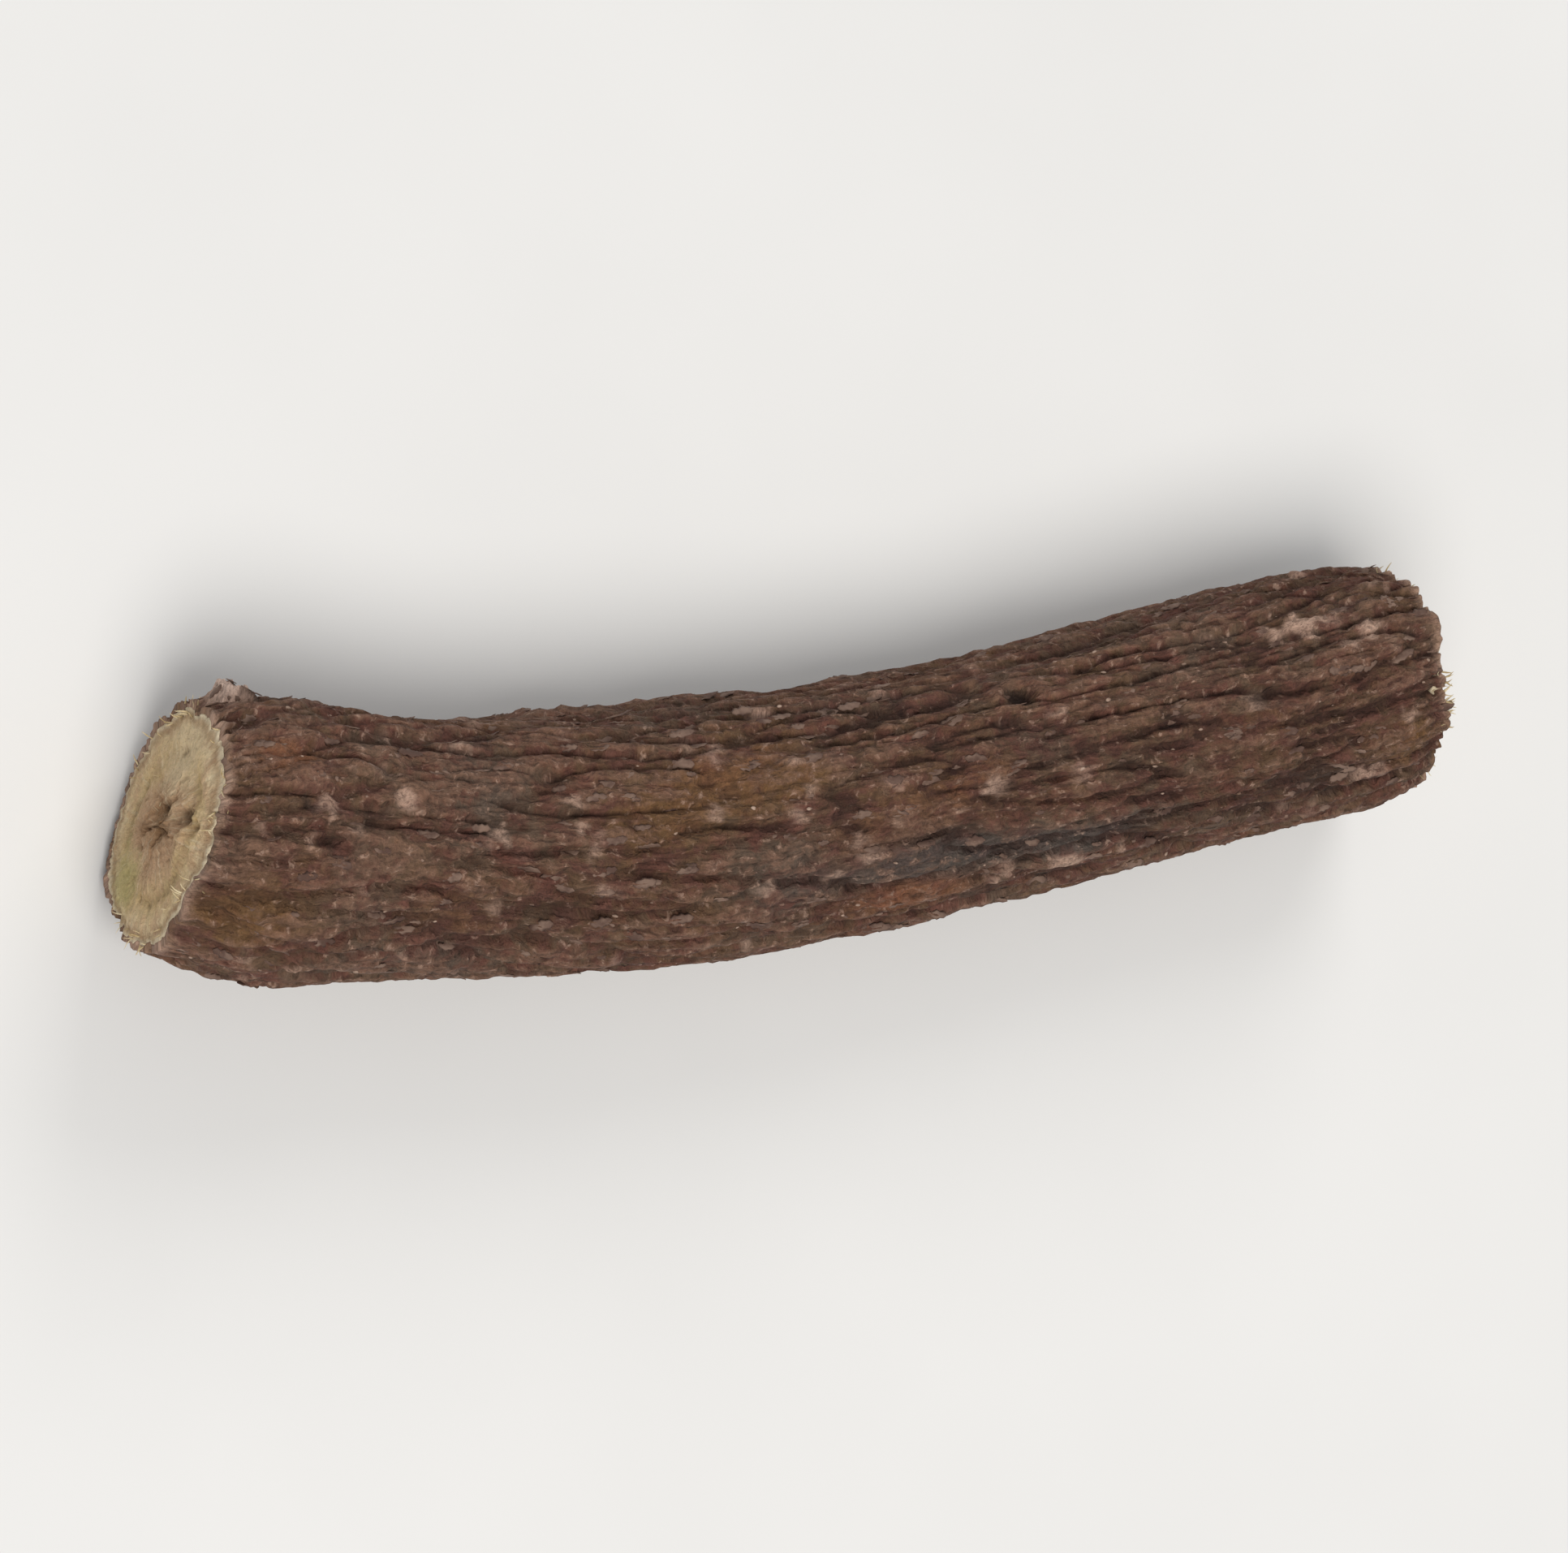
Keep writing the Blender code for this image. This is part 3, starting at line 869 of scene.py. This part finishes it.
def barkRows():  # share along the root, cut, share of its radius: from inside one cut to inside the other
    shares = [i / bark["sections"] for i in range(bark["sections"] + 1)]
    shares = [share - bark["crowding"] * sin(tau * share) for share in shares]
    rims = (*bark["rimShares"], bark["innerShare"])
    rows = [(0.0, thickCut, rim) for rim in reversed(rims)] + [(share, None, 1.0) for share in shares]
    return rows + [(1.0, thinCut, rim) for rim in rims]


def paleAt(most, straight, frayed):  # how pale the torn rim is
    mean, uneven, often, fraying = bark["rimPatches"]
    patches = mean + uneven * noise(straight * often) + fraying * frayed
    return most * min(1.0, max(0.0, patches))


def makeBark():
    count = bark["around"]
    rows, warts = barkRows(), allWarts()
    waver, often = bark["fraying"]
    limit = bark["wartLimit"] / 1000 / rootForm["chord"]
    points, spots = [], []
    for share, cut, rim in rows:
        along = station(share)[1]
        nearby = [wart for wart in warts if abs(share - wart[0]) < wart[2] * limit]
        sunk = bark["innerDrop"] if rim == bark["innerShare"] else 0.0
        fromEnd = min(share, 1 - share) * rootForm["chord"]
        atCut = 1.0 if cut else bell(fromEnd, bark["rimReach"])
        # beside a cut the pale is torn bark and a painted highlight along the edge
        mostPale = bark["paleCut"] if cut else bark["paleRimAndHighlight"] * atCut
        for i in range(count):
            angle = tau * i / count
            straight = straightened(share, angle)
            bare = 0.0 if cut else 1 - rubbed(share, angle)
            frayed = waver * noise(straight * often)
            rise, pale, dark = wartsAt(nearby, share, angle + frayed)
            pale = min(1.0, pale + paleAt(mostPale, straight, frayed))
            bleached = bark["flapBleached"] * min(1.0, flapHeight(share, angle) / flap["height"])
            swells, grooves = (0.0, 0.0) if cut else barkLayers(share, angle)
            stain = stainAt(share, angle, straight)
            stain[0] = max(stain[0], bark["tanCut"] * atCut)
            points.append(facePoint(cut, rim, angle, sunk) if cut else barkPoint(share, angle, rise * bare))
            spots.append({
                "straight": straight * 1000,
                "depth": (grooves + swells * bark["swellShare"]) * 1000,
                "open": bare * min(1.0, fromEnd / bark["calmEnd"]),
                "along": along,
                "stain": stain,
                "spot": (pale, dark, bleached),
            })
    faces = tubeFaces(len(rows), count)
    for first in (0, (len(rows) - 1) * count):  # closes the tube inside the wood
        faces += fanFaces(first, count, len(points))
        points.append(sum(points[first:first + count], Vector()) / count)
        spots.append(spots[first])
    values = {name: [spot[name] for spot in spots] for name in spots[0]}
    return closedForm("barkForm", points, faces, values)


barkForm = makeBark()
print("bark formed,", len(barkForm.data.vertices), "points")
barkPiece = runTree(barkForm, finerBarkTree(), {**bark["finer"], "Material": barkMaterial()}, "bark")
print("bark made")


cutFace = {
    "around": 300,
    "rings": 66,
    "edge": 0.957,
    "thickness": 0.0008,
    "back": ((0.98, 1.0), (1.0, 0.9), (1.0, 0.1)),  # rings behind the edge: shares of it and of the thickness
    "start": 0.996,
    "crowding": 0.9,
    "clumps": (4, 7.7, 0.15),  # how often fibres stand in clumps, place in the noise, how common
    "tornFrom": 0.88,
    "tornInside": 0.02,
    "finer": {"Ray Depth": 0.00042, "Fibre Depth": 0.00036, "Ray Rate": 15.0, "Fibre Rate": 15.0},
    "seeds": {"thickFace": 2.0, "thinFace": 7.0},
}


def fibrousFaceTree():
    tree, given = newTree("fibrousFace", (*cutFace["finer"], "Seed"))
    x, y, share = split(tree, namedValue(tree, "face", "FLOAT_VECTOR"))
    flat = joined(tree, x, y, given["Seed"])
    outwards = scaled(tree, doVector(tree, "NORMALIZE", joined(tree, x, y)), given["Ray Rate"])
    rays = noiseAt(tree, doVector(tree, "ADD", outwards, flat), 3.0)
    rays = swing(tree, rays, times(tree, given["Ray Depth"], share))
    fibres = swing(tree, noiseAt(tree, flat, 4.0, 0.6, given["Fibre Rate"]), given["Fibre Depth"])
    relief = doMath(tree, "ADD", rays, fibres)
    offset = scaled(tree, namedValue(tree, "outward", "FLOAT_VECTOR"), relief)
    moved = movedBy(tree, given["Geometry"], offset)
    endTree(tree, withDepth(tree, moved, relief), given["Material"])
    return tree


def tornAt(cut, side, up, share):  # how many fibres stand out there
    rate, offset, common = cutFace["clumps"]
    clump = max(0.0, noise(Vector((side * rate, up * rate, cut["side"] * offset))) + common)
    return cut["torn"] * clump * (1.0 if share > cutFace["tornFrom"] else cutFace["tornInside"])


def faceDepth(cut, share, angle):  # millimetres, without the dome
    dome = cutForm["dome"] * (1 - share**2) if share > 0 else 0.0
    return (faceHeight(cut, share, angle) - dome) * 1000


def tintsAt(cut, x, y):
    return [bell(hypot(x - sideways, y - upwards), reach) for sideways, upwards, reach in cut["tints"]]


def makeFace(cut, name):
    count, rings, edge = cutFace["around"], cutFace["rings"], cutFace["edge"]
    rows = [(edge * narrower, cutFace["thickness"] * sunk) for narrower, sunk in cutFace["back"]]
    front = (len(rows) - 1) * count
    rows += [(edge * (1 - i / rings) ** cutFace["crowding"] * cutFace["start"], 0.0) for i in range(rings)]
    spots = [(share, tau * i / count, sunk) for share, sunk in rows for i in range(count)]
    spots += [(0.0, 0.0, cutFace["thickness"]), (0.0, 0.0, 0.0)]  # the middles of the back and the front
    faces = tubeFaces(len(rows), count) + fanFaces(0, count, len(spots) - 2)
    faces += fanFaces((len(rows) - 1) * count, count, len(spots) - 1)
    flat = [(share * sin(angle), share * cos(angle), share) for share, angle, _ in spots]
    values = {
        "face": flat,
        "depth": [faceDepth(cut, share, angle) for share, angle, _ in spots],
        "tint": [(*tintsAt(cut, x, y), 0.0) for x, y, _ in flat],
        "outward": [station(cut["end"])[1] * cut["side"]] * len(spots),
        "along": [Vector((0, 0, 1))] * len(spots),
        "torn": [tornAt(cut, *spot) if i >= front else 0.0 for i, spot in enumerate(flat)],
    }
    return closedForm(name + "Form", [facePoint(cut, *spot) for spot in spots], faces, values)


wood = woodMaterial()
fibrousFace = fibrousFaceTree()
faceForms = {name: makeFace(cut, name) for name, cut in (("thickFace", thickCut), ("thinFace", thinCut))}
facePieces = {}
for name, form in faceForms.items():
    settings = {**cutFace["finer"], "Seed": cutFace["seeds"][name], "Material": wood}
    facePieces[name] = runTree(form, fibrousFace, settings, name)
print("cut faces made")


flakes = {
    "width": 0.52,
    "thickness": 0.055,
    "outline": (  # place along it, width, thickness and rise, from its fixed end to its loose one
        (-1 / 2, 0.25, 0.625, -0.06),
        (-1 / 3, 0.78, 0.89, -0.02),
        (-1 / 6, 0.58, 0.79, 0.0),
        (0.0, 1.0, 1.0, 0.005),
        (1 / 6, 0.66, 0.83, 0.025),
        (1 / 3, 0.72, 0.86, 0.055),
        (1 / 2, 0.10, 0.55, 0.10),
    ),
    "strewn": {  # inputs of the tree below, in metres and radians
        "Where": "open", "Per Area": 200000.0, "Smallest": 0.00045, "Largest": 0.00135, "Lean": 0.11,
        "Sink": 0.00002, "Warp": 0.00026, "Warp Rate": 1600.0, "Seed": 11,
    },
    "tones": (srgb(84, 60, 50), srgb(126, 101, 86)),
    "patches": 900.0,
}
lenticels = {
    "width": 0.75,
    "thickness": 0.45,
    "outline": (
        (-0.5, 0.3, 0.4, 0.0),
        (-0.3, 0.8, 0.9, 0.0),
        (0.05, 1.0, 1.0, 0.0),
        (0.35, 0.7, 0.7, 0.0),
        (0.5, 0.25, 0.3, 0.0),
    ),
    "strewn": {
        "Where": "open", "Per Area": 36000.0, "Smallest": 0.00014, "Largest": 0.00034, "Lean": 0.3,
        "Sink": 0.00002, "Warp": 0.0001, "Warp Rate": 1600.0, "Seed": 5,
    },
    "tones": (srgb(132, 106, 90), srgb(176, 150, 132)),
    "patches": 1400.0,
}
fibres = {
    "thickness": 0.075,
    "outline": ((0.0, 1.0, 0.0), (0.3, 0.9, 0.02), (0.6, 0.7, 0.08), (0.85, 0.45, 0.17), (1.0, 0.12, 0.25)),
    "root": 0.1,  # share of its length that is in the wood
    "strewn": {
        "Where": "torn", "Per Area": 16000000.0, "Smallest": 0.00030, "Largest": 0.00085, "Lean": 0.55,
        "Sink": 0.0, "Warp": 0.00025, "Warp Rate": 1600.0, "Seed": 23,
    },
    "tones": (srgb(188, 164, 116), srgb(230, 214, 178)),
    "patches": 1100.0,
}


def strewTree():  # strews copies of a small piece over a surface, each turned along the root
    numbers = ("Per Area", "Smallest", "Largest", "Lean", "Sink", "Warp", "Warp Rate")
    tree, given = newTree("strew", numbers, {"Piece": "Object", "Where": "String", "Seed": "Int"})
    seed = given["Seed"]
    density = times(tree, given["Per Area"], namedValue(tree, given["Where"]))
    inputs = {"Mesh": given["Geometry"], "Density": density, "Seed": seed}
    strewn = addNode(tree, "GeometryNodeDistributePointsOnFaces", inputs, distribute_method="RANDOM").outputs
    upright = result(tree, "FunctionNodeAlignRotationToVector", {"Vector": strewn["Normal"]}, axis="Z")
    inputs = {"Rotation": upright, "Vector": namedValue(tree, "along", "FLOAT_VECTOR")}
    turned = result(tree, "FunctionNodeAlignRotationToVector", inputs, axis="X", pivot_axis="Z")
    most = joined(tree, given["Lean"], given["Lean"], given["Lean"])
    inputs = {0: scaled(tree, most, -1.0), 1: most, "Seed": seed}
    lean = result(tree, "FunctionNodeRandomValue", inputs, data_type="FLOAT_VECTOR")
    inputs = {"Rotation": turned, "Rotate By": lean}
    leant = result(tree, "FunctionNodeRotateRotation", inputs, rotation_space="LOCAL")
    inputs = {2: given["Smallest"], 3: given["Largest"], "Seed": seed}
    size = result(tree, "FunctionNodeRandomValue", inputs, 1, data_type="FLOAT")
    inputs = {"Object": given["Piece"], "As Instance": True}
    piece = result(tree, "GeometryNodeObjectInfo", inputs, "Geometry")
    sink = scaled(tree, strewn["Normal"], times(tree, given["Sink"], -1.0))
    sunk = movedBy(tree, strewn["Points"], sink)
    inputs = {"Points": sunk, "Instance": piece, "Rotation": leant, "Scale": size}
    copies = result(tree, "GeometryNodeInstanceOnPoints", inputs)
    realized = result(tree, "GeometryNodeRealizeInstances", {"Geometry": copies})
    place = result(tree, "GeometryNodeInputPosition")
    warp = noiseAt(tree, place, 2.0, scale=given["Warp Rate"], output=1)
    warp = scaled(tree, doVector(tree, "SUBTRACT", warp, (0.5, 0.5, 0.5)), given["Warp"])
    warped = movedBy(tree, realized, warp)
    endTree(tree, keptAbove(tree, warped), given["Material"])
    return tree


def smallForm(name, rings):  # a closed body of rings of points
    sides = len(rings[0])
    last = (len(rings) - 1) * sides
    faces = tubeFaces(len(rings), sides) + [tuple(range(sides)), tuple(range(last, last + sides))]
    return closedForm(name, [point for ring in rings for point in ring], faces)


def circle(sides):
    return [(cos(tau * i / sides), sin(tau * i / sides)) for i in range(sides)]


def makeFlat(name, form):
    half, thick = form["width"] / 2, form["thickness"] / 2
    rings = [
        [(along, half * wide * x, thick * high * y + rise) for x, y in circle(6)]
        for along, wide, high, rise in form["outline"]
    ]
    return smallForm(name, rings)


def makeFibre():  # stands up along Z, so that it leaves the face, and bends a little
    thick = fibres["thickness"]
    rings = [
        [(bend + thick * wide * x, thick * wide * y, z - fibres["root"]) for x, y in circle(4)]
        for z, wide, bend in fibres["outline"]
    ]
    return smallForm("fibreForm", rings)


strew = strewTree()


def strewOver(surface, piece, form, material, name):
    return runTree(surface, strew, {**form["strewn"], "Piece": piece, "Material": material}, name)


smallForms = [makeFlat("flakeForm", flakes), makeFlat("lenticelForm", lenticels), makeFibre()]
flakePiece = strewOver(barkPiece, smallForms[0], flakes, smallMaterial("flake", flakes), "barkFlakes")
lenticelPiece = strewOver(barkPiece, smallForms[1], lenticels, smallMaterial("speck", lenticels), "lenticels")
fibreMaterial = smallMaterial("fibre", fibres)
fibrePieces = [
    strewOver(piece, smallForms[2], fibres, fibreMaterial, name + "Fibres")
    for name, piece in facePieces.items()
]
print("flakes, lenticels and fibres strewn")

for form in [barkForm, *faceForms.values(), *smallForms]:
    bpy.data.objects.remove(form)

for piece in (barkPiece, flakePiece, lenticelPiece):
    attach(piece, "root")
    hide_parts("licorice_root")
for piece in (*facePieces.values(), *fibrePieces):
    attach(piece, "root")
    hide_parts("licorice_root")
for piece in (barkPiece, flakePiece, lenticelPiece, *facePieces.values(), *fibrePieces):
    piece.data.shade_smooth()
    piece.data.calc_loop_triangles()
    print(piece.name, len(piece.data.loop_triangles), "triangles")


stage = {
    "floor": 3.0,
    "floorColour": (srgb(226, 225, 223), srgb(234, 233, 231)),
    "floorClouds": 40.0,  # in a metre
    "floorRoughness": 0.8,
    "sky": (0.95, 0.97, 1.0),
    "skyStrength": 0.35,
    "lights": (  # name, place, size, watts, colour
        ("softLight", (-0.22, -0.34, 0.78), 0.60, 5.7, (1.0, 0.98, 0.95)),
        ("farLight", (0.30, 0.62, 0.52), 0.50, 2.2, (1.0, 0.99, 0.97)),
    ),
}


def makeFloor():
    half = stage["floor"] / 2
    corners = [(-half, -half, 0), (half, -half, 0), (half, half, 0), (-half, half, 0)]
    mesh = bpy.data.meshes.new("floor")
    mesh.from_pydata(corners, [], [(0, 1, 2, 3)])
    made = addObject("floor", mesh)
    material, tree, shader = newMaterial("paleFloor")
    place = result(tree, "ShaderNodeTexCoord", which="Object")
    clouds = stretchedNoiseAt(tree, place, (stage["floorClouds"],) * 3, 3, 0.5)
    tree.links.new(blendColour(tree, clouds, *stage["floorColour"]), shader.inputs["Base Color"])
    shader.inputs["Roughness"].default_value = stage["floorRoughness"]
    mesh.materials.append(material)


def makeLights():
    for name, place, size, watts, colour in stage["lights"]:
        light = bpy.data.lights.new(name, "AREA")
        light.shape = "DISK"
        light.size = size
        light.energy = watts
        light.color = colour
        lamp = addObject(name, light)
        lamp.location = place
        lamp.rotation_euler = (-Vector(place)).to_track_quat("-Z", "Y").to_euler()
    world = bpy.data.worlds.new("softSky")
    world.use_nodes = True
    background = world.node_tree.nodes["Background"]
    background.inputs[0].default_value = (*stage["sky"], 1.0)
    background.inputs[1].default_value = stage["skyStrength"]
    bpy.context.scene.world = world
    bpy.context.scene.view_settings.view_transform = "Standard"


view = {
    "elevation": 65.0,  # degrees above the floor, seen from past the thick end
    "roll": 7.07,
    "distance": 0.6,
    "span": 0.082,  # metres across the picture
    "sensor": 36,
    "nearest": 0.01,
    "target": (0.00025, 0.00044, 0.0066),
}


def makeCamera():
    up = radians(view["elevation"])
    roll = radians(view["roll"])
    back = Vector((-cos(up), 0, sin(up)))
    right = Vector((sin(up), 0, cos(up)))
    right = right * cos(roll) - back.cross(right) * sin(roll)
    data = bpy.data.cameras.new("camera")
    data.sensor_width = view["sensor"]
    data.lens = data.sensor_width * view["distance"] / view["span"]
    data.clip_start = view["nearest"]
    camera = addObject("camera", data)
    turn = Matrix((right, back.cross(right), back)).transposed().to_4x4()
    camera.matrix_world = Matrix.Translation(Vector(view["target"]) + back * view["distance"]) @ turn
    bpy.context.scene.camera = camera


makeFloor()
makeLights()
makeCamera()
print("floor, light and camera set")
